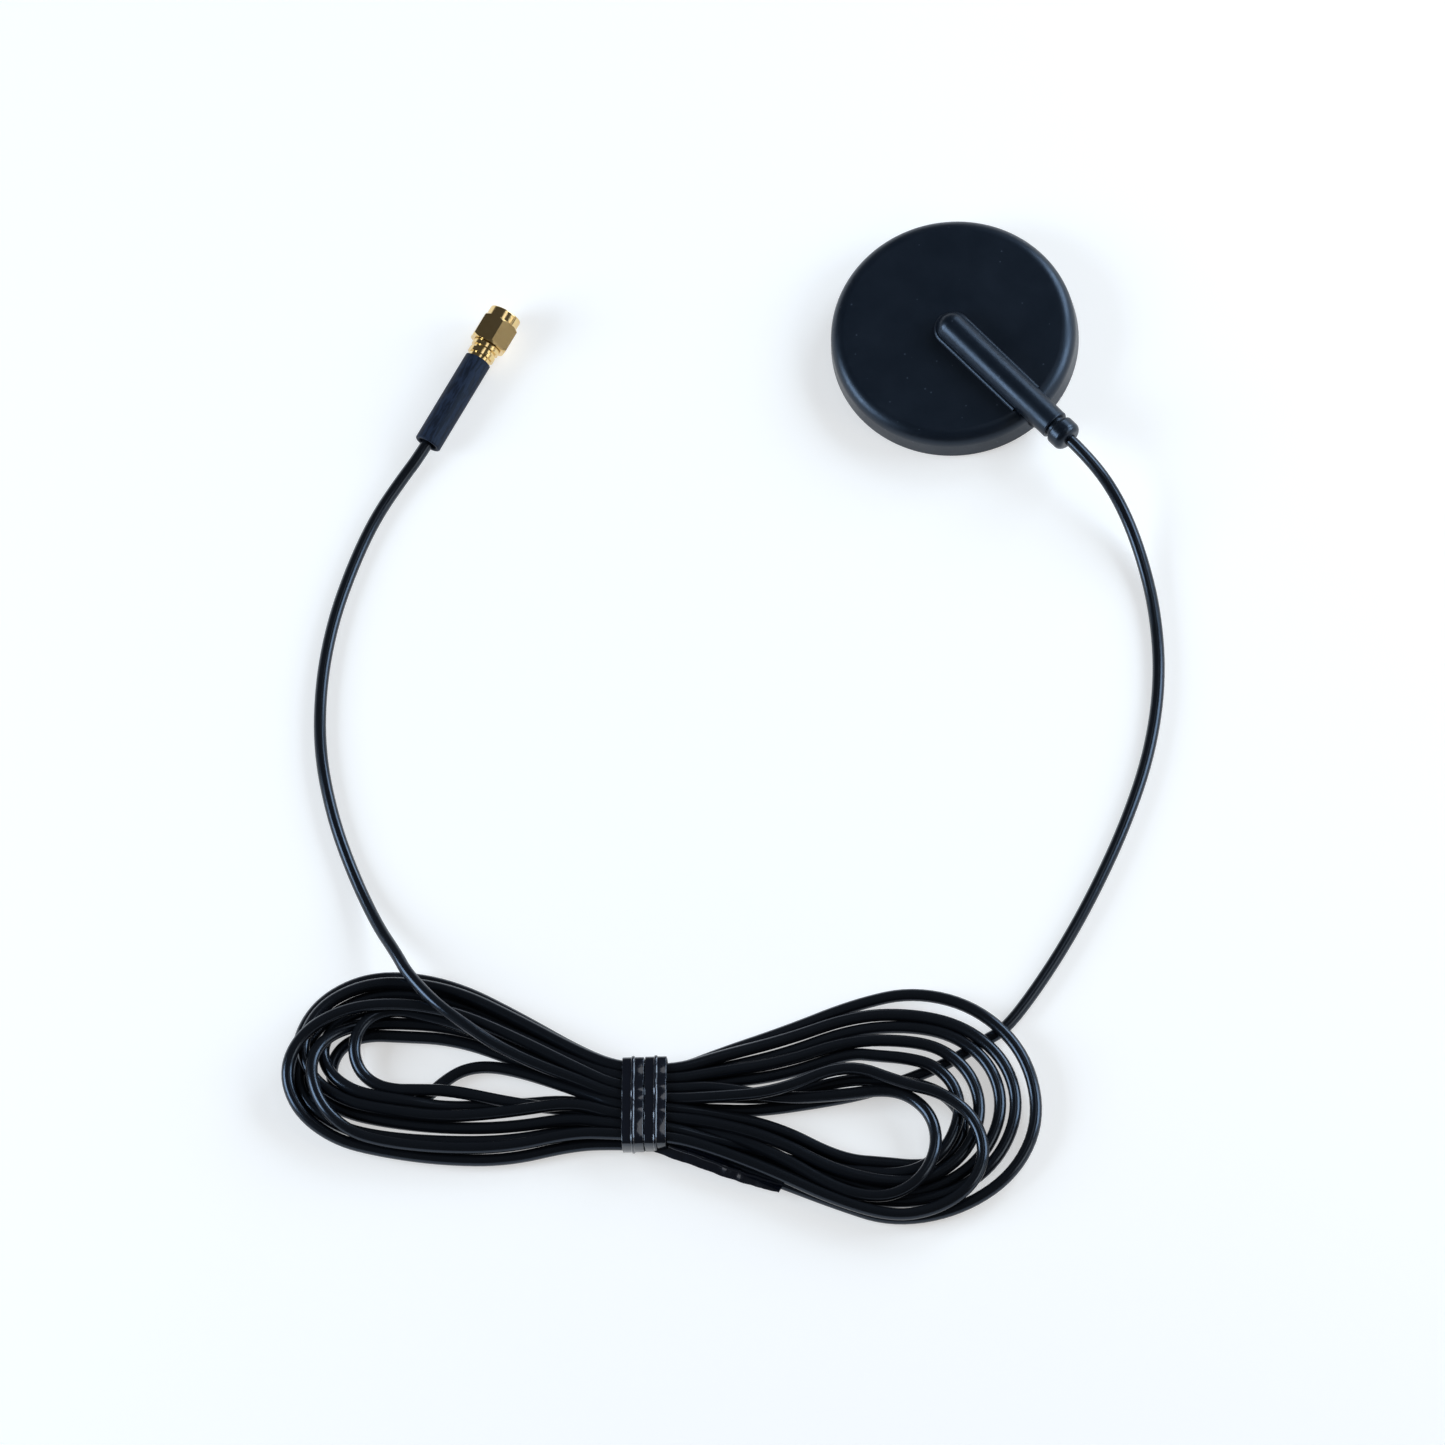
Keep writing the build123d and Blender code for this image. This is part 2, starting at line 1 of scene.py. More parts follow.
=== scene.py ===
import json
import math
import bmesh
import bpy
import numpy as np
from mathutils import Matrix, Vector


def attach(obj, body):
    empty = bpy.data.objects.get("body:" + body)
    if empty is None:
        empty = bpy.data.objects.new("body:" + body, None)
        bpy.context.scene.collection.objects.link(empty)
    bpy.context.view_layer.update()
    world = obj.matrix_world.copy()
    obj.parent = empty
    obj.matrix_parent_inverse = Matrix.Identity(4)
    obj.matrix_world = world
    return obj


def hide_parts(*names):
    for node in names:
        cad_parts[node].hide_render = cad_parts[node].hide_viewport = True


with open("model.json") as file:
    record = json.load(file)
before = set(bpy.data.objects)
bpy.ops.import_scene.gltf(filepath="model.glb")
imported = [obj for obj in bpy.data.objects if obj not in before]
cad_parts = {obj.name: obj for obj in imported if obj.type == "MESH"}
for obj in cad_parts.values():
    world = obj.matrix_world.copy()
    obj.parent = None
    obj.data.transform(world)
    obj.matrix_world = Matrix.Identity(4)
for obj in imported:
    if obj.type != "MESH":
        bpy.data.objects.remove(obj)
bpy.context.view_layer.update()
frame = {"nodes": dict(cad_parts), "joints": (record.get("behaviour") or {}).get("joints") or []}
nodes = frame["nodes"]
mm = 0.001  # the values below are millimetres, unless a note says otherwise
print("frame loaded,", len(nodes), "pieces")

# The plug's line, from the joint that its nut turns on
nutJoint = frame["joints"][0]
plugAxis = Vector(nutJoint["axis"])
nutStart = 26.1  # from the sleeve's mouth to the nut
plugMouth = Vector(nutJoint["pos_m"]) - plugAxis * nutStart * mm

# Camera: a long lens looking down on the table
camera = {
    "focalLength": 1500.0,
    "sensorWidth": 36.0,
    "viewWidth": 314.1,  # what the frame covers at the table
    "lookAt": (30.35, -97.38, 0.0),
    "turn": 57.1,  # degrees
    "elevation": 65.7,
    "roll": 10.8,
    "clipRange": (1, 60),  # metres
}


def pictureDirections():
    turn, elevation, roll = (math.radians(camera[k]) for k in ("turn", "elevation", "roll"))
    level = Vector((math.cos(turn), math.sin(turn), 0))
    rise = Vector((-level.y * math.sin(elevation), level.x * math.sin(elevation), math.cos(elevation)))
    right = level * math.cos(roll) - rise * math.sin(roll)
    top = level * math.sin(roll) + rise * math.cos(roll)
    return right, top, right.cross(top)


def makeCamera():
    right, top, back = pictureDirections()
    data = bpy.data.cameras.new("photoCamera")
    data.lens = camera["focalLength"]
    data.sensor_width = camera["sensorWidth"]
    data.clip_start, data.clip_end = camera["clipRange"]
    distance = camera["viewWidth"] * mm * camera["focalLength"] / camera["sensorWidth"]
    obj = bpy.data.objects.new("photoCamera", data)
    bpy.context.collection.objects.link(obj)
    place = Vector(camera["lookAt"]) * mm + back * distance
    obj.matrix_world = Matrix.Translation(place) @ Matrix((right, top, back)).transposed().to_4x4()
    bpy.context.scene.camera = obj


# Node helpers
vectorKind, floatKind = "NodeSocketVector", "NodeSocketFloat"


def addNode(tree, kind, feeds=None, **settings):  # feeds holds a value or a socket for each input
    node = tree.nodes.new(kind)
    for name, value in settings.items():
        setattr(node, name, value)
    for label, value in (feeds or {}).items():
        if isinstance(value, bpy.types.NodeSocket):
            tree.links.new(value, node.inputs[label])
        else:
            node.inputs[label].default_value = value
    return node


def addMath(tree, operation, *values):
    return addNode(tree, "ShaderNodeMath", dict(enumerate(values)), operation=operation).outputs[0]


def addNoise(tree, vector, scale, detail=3.0, roughness=0.55):
    return addNode(tree, "ShaderNodeTexNoise", {
        "Vector": vector, "Scale": scale, "Detail": detail, "Roughness": roughness,
    }).outputs["Fac"]


def addRange(tree, value, low, high, newLow, newHigh, **settings):
    return addNode(tree, "ShaderNodeMapRange", {
        "Value": value, "From Min": low, "From Max": high, "To Min": newLow, "To Max": newHigh,
    }, **settings).outputs["Result"]


# Studio: a white table, five soft lamps round it and a sky that is bright near the horizon only
coolLight, warmLight, plainLight = (0.7, 0.85, 1.0), (1.0, 0.93, 0.82), (1.0, 1.0, 1.0)
studio = {
    "tableSize": 6000.0,
    "tableDrop": 0.05,  # from the part's underside to the table's face
    "tableColour": (0.6, 0.585, 0.57, 1),
    "tableGlow": 0.52,  # added where the table is seen, straight or in a reflection
    "horizon": 1.0,  # brightness of the sky at the horizon and overhead
    "overhead": 0.07,
    "horizonBand": (0.02, 0.2),  # heights on the sky between which one turns into the other
    "lampDistance": 900.0,
    "lamps": [  # angle in the picture, elevation, width, height, brightness, colour
        (186, 26, 500, 440, 10.5, coolLight),
        (13, 25, 400, 500, 7.5, coolLight),
        (49, 26, 360, 440, 8.5, coolLight),
        (340, 27, 300, 380, 2.6, warmLight),
        (40, 70, 300, 170, 1.3, plainLight),
    ],
}


def makeTable():
    half, level = studio["tableSize"] / 2 * mm, -studio["tableDrop"] * mm
    mesh = bpy.data.meshes.new("table")
    corners = [(-half, -half, level), (half, -half, level), (half, half, level), (-half, half, level)]
    mesh.from_pydata(corners, [], [(0, 1, 2, 3)])
    table = bpy.data.objects.new("table", mesh)
    bpy.context.collection.objects.link(table)
    mat = bpy.data.materials.new("tableTop")
    mat.use_nodes = True
    tree = mat.node_tree
    tree.nodes.clear()
    light = addNode(tree, "ShaderNodeLightPath")
    seen = light.outputs["Is Camera Ray"]
    for kind in ("Is Glossy Ray", "Is Transmission Ray"):
        seen = addMath(tree, "MAXIMUM", seen, light.outputs[kind])
    strength = addMath(tree, "MULTIPLY", seen, studio["tableGlow"])
    diffuse = addNode(tree, "ShaderNodeBsdfDiffuse", {"Color": studio["tableColour"]})
    glow = addNode(tree, "ShaderNodeEmission", {"Strength": strength})
    both = addNode(tree, "ShaderNodeAddShader", {0: diffuse.outputs[0], 1: glow.outputs[0]})
    addNode(tree, "ShaderNodeOutputMaterial", {"Surface": both.outputs[0]})
    mesh.materials.append(mat)


def makeSky():
    world = bpy.data.worlds.new("studio")
    bpy.context.scene.world = world
    world.use_nodes = True
    tree = world.node_tree
    tree.nodes.clear()
    coords = addNode(tree, "ShaderNodeTexCoord")
    height = addNode(tree, "ShaderNodeSeparateXYZ", {0: coords.outputs["Generated"]}).outputs["Z"]
    strength = addRange(tree, height, *studio["horizonBand"], studio["horizon"], studio["overhead"],
                        interpolation_type="SMOOTHSTEP")
    sky = addNode(tree, "ShaderNodeBackground", {"Color": (1, 1, 1, 1), "Strength": strength})
    addNode(tree, "ShaderNodeOutputWorld", {"Surface": sky.outputs[0]})


def makeLamps():
    right = pictureDirections()[0]
    right = Vector((right.x, right.y, 0)).normalized()
    away = Vector((-right.y, right.x, 0))
    centre = Vector(camera["lookAt"]) * mm
    for number, (angle, elevation, width, height, bright, colour) in enumerate(studio["lamps"]):
        angle, elevation = math.radians(angle), math.radians(elevation)
        level = right * math.cos(angle) + away * math.sin(angle)
        direction = level * math.cos(elevation) + Vector((0, 0, math.sin(elevation)))
        data = bpy.data.lights.new("softLight%d" % number, "AREA")
        data.shape = "RECTANGLE"
        data.size, data.size_y = width * mm, height * mm
        data.energy = bright * math.pi * data.size * data.size_y
        data.color = colour
        lamp = bpy.data.objects.new(data.name, data)
        bpy.context.collection.objects.link(lamp)
        lamp.location = centre + direction * studio["lampDistance"] * mm
        lamp.rotation_euler = direction.to_track_quat("Z", "Y").to_euler()


# Shader groups that the finishes share
def makeGroup(name, inputs, outputs):
    tree = bpy.data.node_groups.new(name, "ShaderNodeTree")
    for label, kind, value in inputs:
        socket = tree.interface.new_socket(name=label, in_out="INPUT", socket_type=kind)
        if value is not None:
            socket.default_value = value
    for label, kind in outputs:
        tree.interface.new_socket(name=label, in_out="OUTPUT", socket_type=kind)
    return tree, tree.nodes.new("NodeGroupInput"), tree.nodes.new("NodeGroupOutput")


def makeGrainGroup():  # cloudy shine and a fine moulded or rubbed surface
    tree, given, result = makeGroup(
        "fineGrain",
        [("Vector", vectorKind, None), ("Scale", floatKind, 900.0), ("Low", floatKind, 0.3),
         ("High", floatKind, 0.5)],
        [("Roughness", floatKind), ("Height", floatKind)],
    )
    fine = addNoise(tree, given.outputs["Vector"], given.outputs["Scale"], 2.0)
    coarse = addMath(tree, "MULTIPLY", given.outputs["Scale"], 0.08)
    cloud = addNoise(tree, given.outputs["Vector"], coarse, 4.0)
    mixed = addMath(tree, "MULTIPLY_ADD", fine, 0.35, addMath(tree, "MULTIPLY", cloud, 0.65))
    shine = addRange(tree, mixed, 0.35, 0.65, given.outputs["Low"], given.outputs["High"])
    tree.links.new(shine, result.inputs["Roughness"])
    tree.links.new(fine, result.inputs["Height"])
    return tree


def makeSpeckGroup():  # sparse tiny grains of dust
    tree, given, result = makeGroup(
        "dustSpecks",
        [("Vector", vectorKind, None), ("Scale", floatKind, 700.0), ("Size", floatKind, 0.12),
         ("Share", floatKind, 0.1)],
        [("Mask", floatKind)],
    )
    cells = addNode(tree, "ShaderNodeTexVoronoi", {
        "Vector": given.outputs["Vector"], "Scale": given.outputs["Scale"],
    })
    dot = addMath(tree, "LESS_THAN", cells.outputs["Distance"], given.outputs["Size"])
    parts = addNode(tree, "ShaderNodeSeparateColor", {0: cells.outputs["Color"]})
    chosen = addMath(tree, "LESS_THAN", parts.outputs[0], given.outputs["Share"])
    tree.links.new(addMath(tree, "MULTIPLY", dot, chosen), result.inputs["Mask"])
    return tree


def makeStreakGroup():  # marks drawn out along the local Z axis
    tree, given, result = makeGroup(
        "longStreaks",
        [("Vector", vectorKind, None), ("Across", floatKind, 2500.0), ("Along", floatKind, 120.0)],
        [("Mask", floatKind)],
    )
    parts = addNode(tree, "ShaderNodeSeparateXYZ", {0: given.outputs["Vector"]})
    joined = addNode(tree, "ShaderNodeCombineXYZ", {
        axis: addMath(tree, "MULTIPLY", parts.outputs[axis], given.outputs[label])
        for axis, label in (("X", "Across"), ("Y", "Across"), ("Z", "Along"))
    })
    tree.links.new(addNoise(tree, joined.outputs[0], 1.0, 3.0, 0.6), result.inputs["Mask"])
    return tree


def makeThreadGroup():  # turns of a screw thread round the local Z axis, inside a bore
    tree, given, result = makeGroup(
        "boreThread",
        [("Vector", vectorKind, None), ("Pitch", floatKind, 0.0007), ("Reach", floatKind, 0.0031),
         ("Start", floatKind, 0.03), ("End", floatKind, 0.034)],
        [("Height", floatKind)],
    )
    parts = addNode(tree, "ShaderNodeSeparateXYZ", {0: given.outputs["Vector"]})
    x, y, z = (parts.outputs[k] for k in "XYZ")
    turn = addMath(tree, "DIVIDE", addMath(tree, "ARCTAN2", y, x), 2 * math.pi)
    rise = addMath(tree, "DIVIDE", z, given.outputs["Pitch"])
    wave = addMath(tree, "PINGPONG", addMath(tree, "SUBTRACT", rise, turn), 0.5)
    square = addMath(tree, "MULTIPLY_ADD", x, x, addMath(tree, "MULTIPLY", y, y))
    inside = addMath(tree, "LESS_THAN", addMath(tree, "SQRT", square), given.outputs["Reach"])
    after = addMath(tree, "GREATER_THAN", z, given.outputs["Start"])
    before = addMath(tree, "LESS_THAN", z, given.outputs["End"])
    mask = addMath(tree, "MULTIPLY", inside, addMath(tree, "MULTIPLY", after, before))
    tree.links.new(addMath(tree, "MULTIPLY", wave, mask), result.inputs["Height"])
    return tree


def useGroup(tree, group, vector, **values):
    return addNode(tree, "ShaderNodeGroup", {"Vector": vector, **values}, node_tree=group)


def plugCoordinates(tree, vector):  # turned so that local Z runs along the plug from the sleeve's mouth
    turned = plugAxis.to_track_quat("Z", "Y").to_euler()
    return addNode(tree, "ShaderNodeMapping", {
        "Vector": vector, "Location": plugMouth, "Rotation": turned,
    }, vector_type="TEXTURE").outputs[0]


def addBump(tree, shader, height, distance, strength=1.0):
    bump = addNode(tree, "ShaderNodeBump", {
        "Height": height, "Distance": distance * mm, "Strength": strength,
    })
    tree.links.new(bump.outputs[0], shader.inputs["Normal"])


def mixColour(tree, share, first, second):
    firstSlot, secondSlot, result = 6, 7, 2  # the Mix node's sockets for colours
    node = addNode(tree, "ShaderNodeMix", {
        0: share, firstSlot: (*first, 1), secondSlot: (*second, 1),
    }, data_type="RGBA")
    return node.outputs[result]


finishes = {
    "coverPlastic": (0.0036, 0.0062, 0.011),
    "coverDust": (0.035, 0.045, 0.06),
    "basePlastic": (0.008, 0.0085, 0.0095),
    "padFoam": (0.03, 0.03, 0.032),
    "boardLaminate": (0.02, 0.12, 0.055),
    "copper": (0.78, 0.42, 0.27),
    "screwSteel": (0.56, 0.56, 0.58),
    "solder": (0.66, 0.66, 0.68),
    "jacketPlastic": (0.0056, 0.0062, 0.0078),
    "milkyDielectric": (0.8, 0.8, 0.76),
    "braidWire": (0.6, 0.58, 0.54),
    "reliefRubber": (0.004, 0.006, 0.0095),
    "sleevePlastic": (0.0115, 0.018, 0.038),
    "sleeveDark": (0.002, 0.0034, 0.0095),
    "tiePlastic": (0.0024, 0.0034, 0.0075),
    "goldPlate": (0.86, 0.66, 0.33),
    "goldDeep": (0.74, 0.5, 0.2),
    "whiteInsulator": (0.82, 0.82, 0.8),
    "sealRubber": (0.24, 0.04, 0.025),
    "blueShine": (0.6, 0.76, 1.0, 1),
}

grain, specks, streaks, threadTurns = (
    makeGrainGroup(), makeSpeckGroup(), makeStreakGroup(), makeThreadGroup()
)


def startMaterial(name, roughness=0.5, metallic=0.0, blue=False):
    mat = bpy.data.materials.new(name)
    mat.use_nodes = True
    tree = mat.node_tree
    shader = tree.nodes["Principled BSDF"]
    shader.inputs["Base Color"].default_value = (*finishes[name], 1)
    shader.inputs["Roughness"].default_value = roughness
    shader.inputs["Metallic"].default_value = metallic
    if blue:
        shader.inputs["Specular Tint"].default_value = finishes["blueShine"]
    coords = addNode(tree, "ShaderNodeTexCoord")
    return mat, tree, shader, coords.outputs["Object"]


def startGrainy(name, low, high, scale=1200.0, depth=0.015, strength=0.6, metallic=0.0, blue=False):
    mat, tree, shader, place = startMaterial(name, metallic=metallic, blue=blue)
    soft = useGroup(tree, grain, place, Scale=scale, Low=low, High=high)
    tree.links.new(soft.outputs["Roughness"], shader.inputs["Roughness"])
    addBump(tree, shader, soft.outputs["Height"], depth, strength)
    return mat, tree, shader, place


def grainyFinish(name, low, high, **values):
    return startGrainy(name, low, high, **values)[0]


def coverPlastic():
    mat, tree, shader, place = startGrainy(
        "coverPlastic", 0.3, 0.42, scale=1500.0, depth=0.012, blue=True
    )
    dust = useGroup(tree, specks, place, Scale=650.0, Size=0.13, Share=0.12)
    colour = mixColour(tree, dust.outputs["Mask"], finishes["coverPlastic"], finishes["coverDust"])
    tree.links.new(colour, shader.inputs["Base Color"])
    return mat


def sleevePlastic():
    mat, tree, shader, place = startMaterial("sleevePlastic", blue=True)
    shader.inputs["Specular IOR Level"].default_value = 0.36
    along = plugCoordinates(tree, place)
    lines = useGroup(tree, streaks, along, Across=1700.0, Along=300.0).outputs["Mask"]
    share = addRange(tree, lines, 0.44, 0.58, 0.0, 1.0)
    colour = mixColour(tree, share, finishes["sleeveDark"], finishes["sleevePlastic"])
    tree.links.new(colour, shader.inputs["Base Color"])
    tree.links.new(addRange(tree, lines, 0.3, 0.7, 0.5, 0.72), shader.inputs["Roughness"])
    addBump(tree, shader, lines, 0.07, 0.8)
    return mat


def goldPlate():  # fine turning marks, stains, and the thread's turns in the nut's bore
    mat, tree, shader, place = startMaterial("goldPlate", metallic=1.0)
    along = plugCoordinates(tree, place)
    rings = useGroup(tree, streaks, along, Across=60.0, Along=6000.0).outputs["Mask"]
    tree.links.new(addRange(tree, rings, 0.3, 0.7, 0.1, 0.18), shader.inputs["Roughness"])
    stain = useGroup(tree, grain, place, Scale=900.0, Low=0.0, High=0.55)
    colour = mixColour(tree, stain.outputs["Roughness"], finishes["goldPlate"], finishes["goldDeep"])
    tree.links.new(colour, shader.inputs["Base Color"])
    turns = useGroup(tree, threadTurns, along, Pitch=0.0007, Reach=0.0031, Start=0.03, End=0.0341)
    ringDepth, threadDepth = 0.006, 1.4
    fine = addMath(tree, "MULTIPLY", rings, ringDepth)
    height = addMath(tree, "MULTIPLY_ADD", turns.outputs["Height"], threadDepth, fine)
    addBump(tree, shader, height, 0.5)
    return mat


def tiePlastic():
    mat, tree, shader, place = startGrainy(
        "tiePlastic", 0.16, 0.3, scale=700.0, depth=0.12, strength=0.5, blue=True
    )
    shader.inputs["Coat Weight"].default_value = 1.0
    shader.inputs["Coat Roughness"].default_value = 0.06
    return mat


def padFoam():
    mat, tree, shader, place = startMaterial("padFoam", roughness=0.95)
    cells = addNode(tree, "ShaderNodeTexVoronoi", {"Vector": place, "Scale": 2600})
    addBump(tree, shader, cells.outputs["Distance"], 0.12)
    return mat


def braidWire():
    mat, tree, shader, place = startMaterial("braidWire", roughness=0.35, metallic=1.0)
    weave = addNode(tree, "ShaderNodeTexWave", {
        "Vector": place, "Scale": 1400, "Distortion": 0.4,
    }, wave_type="BANDS", bands_direction="DIAGONAL")
    addBump(tree, shader, weave.outputs["Fac"], 0.06)
    return mat


def dressFrame():
    gold = goldPlate()
    braid = braidWire()
    jacket = grainyFinish("jacketPlastic", 0.17, 0.24, scale=520.0, depth=0.014, strength=0.25, blue=True)
    copper = grainyFinish("copper", 0.2, 0.34, metallic=1.0)
    milky = grainyFinish("milkyDielectric", 0.35, 0.5)
    steel = grainyFinish("screwSteel", 0.24, 0.38, metallic=1.0)
    worn = {
        "top_cover": coverPlastic(),
        "base_cover": grainyFinish("basePlastic", 0.45, 0.6),
        "adhesive_pad": padFoam(),
        "antenna_board": grainyFinish("boardLaminate", 0.25, 0.4),
        "radiator_trace": copper,
        "ground_pad": copper,
        "board_screws": steel,
        "feed_jacket": jacket,
        "feed_braid": braid,
        "feed_dielectric": milky,
        "feed_core": copper,
        "solder_joints": grainyFinish("solder", 0.15, 0.3, metallic=1.0),
        "cable_stop": steel,
        "strain_relief": grainyFinish(
            "reliefRubber", 0.24, 0.36, scale=900.0, depth=0.02, strength=0.4, blue=True
        ),
        "heat_shrink": sleevePlastic(),
        "crimp_ferrule": gold,
        "connector_body": gold,
        "insulator": grainyFinish("whiteInsulator", 0.35, 0.5),
        "center_pin": gold,
        "plug_dielectric": milky,
        "plug_core": copper,
        "plug_braid": braid,
        "retaining_ring": copper,
        "gasket": grainyFinish("sealRubber", 0.45, 0.6),
        "coupling_nut": gold,
    }
    for name, mat in worn.items():
        for slot in nodes[name].material_slots:
            slot.material = mat
    return jacket


# The lead's route, in metres, from the strain relief to the hank and from the hank to the plug
antennaRoute = [
    (0.0378, 0.0, 0.00906), (0.0450, 0.0, 0.00906), (0.0547, -0.0014, 0.0062),
    (0.0655, -0.0055, 0.0024), (0.0783, -0.0129, 0.00135), (0.0909, -0.0233, 0.00135),
    (0.1016, -0.0363, 0.00135), (0.1102, -0.0513, 0.00135), (0.1173, -0.0673, 0.00135),
    (0.1225, -0.0818, 0.00135), (0.1261, -0.0953, 0.00135), (0.1275, -0.1038, 0.00135),
]
connectorRoute = [
    (0.0285, -0.1883, 0.0069), (0.0226, -0.1865, 0.0060), (0.0139, -0.1843, 0.0032),
    (0.0008, -0.1795, 0.00135), (-0.0124, -0.1735, 0.00135), (-0.0260, -0.1649, 0.00135),
    (-0.0375, -0.1539, 0.00135), (-0.0466, -0.1420, 0.00135), (-0.0535, -0.1295, 0.00135),
    (-0.0582, -0.1186, 0.0015), (-0.0607, -0.1087, 0.0019),
]

# The hank is laid out along its length u and width v from the middle of the tie
hank = {
    "diameter": 2.7,
    "leadLength": 3100.0,  # the whole lead
    "centre": (86.3, -171.7),
    "heading": 42.3,  # degrees
    "tieEdge": 6.0,
    "slotReach": 8.9,  # v of the outermost strand under the tie
    "lowStrand": 1.9,  # heights of the two layers under the tie
    "highStrand": 4.7,
    "lobeCorner": 56.0,  # u where the lobes' round ends start
    "endShare": 0.46,  # least length of a round end, as a share of its width
    "endAngles": (0, 28, 58, 90, 122, 152, 180),  # degrees round the end
    "fullness": 1.04,  # the points stand a little outside the line
    "tightFrom": 48.0,  # a round end that starts past this u gets one more point before it
    "overBase": 3.2,  # height and rise per point, in radii, of the strand that leaves over the hank
    "overRise": 0.6,
    "bevelSteps": 6,
    "curveSteps": 7,
    "jacketInside": 13.0,  # how far the lead runs into the plug's sleeve
    "exitLength": 2.0,
}
upperRanks, lowerRanks = 9, 8  # strands above and below the middle, counted from outside

# Where each side's groups fan out: u, then v of the outermost and innermost strand, above and below
gates = {
    "left": [(15, 11.0, 4.6, -9.2, 3.0), (29, 18.4, 10.0, -13.6, 2.2), (43, 25.2, 14.4, -14.2, 1.4)],
    "right": [(15, 13.0, 0.0, -10.0, -2.4), (29, 19.2, -1.0, -14.4, -4.9), (43, 26.2, 4.6, -19.7, -11.8)],
}

# Each loop: side, rank above and below the middle, reach in u, v at its top, tip and bottom, how high
# in the pile it lies, then its own corner, and the lanes that it ends in where it changes its place
loopFields = ("side", "above", "below", "reach", "top", "tip", "bottom", "pile")
loops = [dict(zip(loopFields, row), **own) for *row, own in [
    ("left", 9, 8, 69.2, 14.4, 5.6, -2.6, 1, {"corner": 60.6}),
    ("right", 7, 8, 68.8, 7.6, -2.0, -11.9, 2, {"corner": 58.5, "laneAbove": 0.835}),
    ("left", 7, 5, 64.4, 19.4, 9.2, -0.8, 14.5, {"laneBelow": 0.91}),
    ("right", 6, 5, 64.0, 6.4, -6.8, -20.4, 15, {"laneAbove": 1.0, "laneBelow": 0.1}),
    ("left", 6, 1, 78.1, 19.6, 3.4, -13.2, 16, {}),
    ("right", 1, 1, 85.0, 30.0, 1.8, -23.1, 5, {"laneBelow": 0.1}),
    ("left", 1, 4, 75.8, 27.2, 8.4, -6.8, 6, {"laneBelow": 0.42}),
    ("right", 3, 4, 77.3, 22.4, 3.4, -17.6, 7, {"laneAbove": 0.25, "laneBelow": 0.7}),
    ("left", 3, 3, 76.4, 24.8, 5.0, -9.6, 8, {"laneBelow": 0.27}),
    ("right", 2, 3, 80.0, 24.2, 4.0, -18.0, 9, {"laneAbove": 0.15, "laneBelow": 0.4}),
    ("left", 2, 6, 75.0, 25.6, 9.0, -3.9, 10, {"laneBelow": 0.58}),
    ("right", 4, 6, 72.6, 17.9, 1.6, -16.0, 11, {"laneAbove": 0.41, "laneBelow": 0.68}),
    ("left", 4, 7, 71.6, 22.2, 11.0, -1.1, 12, {"corner": 57.5, "laneBelow": 0.77}),
    ("right", 5, 7, 68.7, 13.8, 1.0, -14.2, 13, {"laneAbove": 0.52, "laneBelow": 0.84}),
    ("left", 5, 2, 72.8, 17.5, 4.8, -12.2, 14, {"laneAbove": 0.73, "laneBelow": 0.09}),
    ("right", 8, 2, 74.6, 6.8, -8.6, -23.2, 17, {"laneAbove": 0.7, "laneBelow": 0.0}),
]]
topPile = 18  # the strand that leaves the hank lies on all the others

# u and v of the strands that come in under the right lobe, leave over the left one and cross inside it
underRight = [(72.4, 19.9), (66.0, 14.9), (57.5, 10.3), (47.5, 6.0), (36.5, 3.2), (24.0, 0.6), (14.0, 0.4)]
overLeft = [(-15.0, 4.2), (-24.0, 7.0), (-32.5, 10.4), (-40.5, 15.0), (-47.5, 19.8)]
crossingUp = [
    (-53.5, -2.0), (-48.4, -0.6), (-44.6, 4.0), (-40.2, 7.6), (-34.5, 8.9), (-27.5, 8.0), (-19.5, 5.6),
    (-12.0, 2.6),
]


def slotPlace(rank, above):
    index = rank - 1 if above else upperRanks + lowerRanks - rank
    step = 2 * hank["slotReach"] / (upperRanks + lowerRanks - 1)
    height = hank["lowStrand"] if index % 2 == 0 else hank["highStrand"]
    return hank["slotReach"] - step * index, height


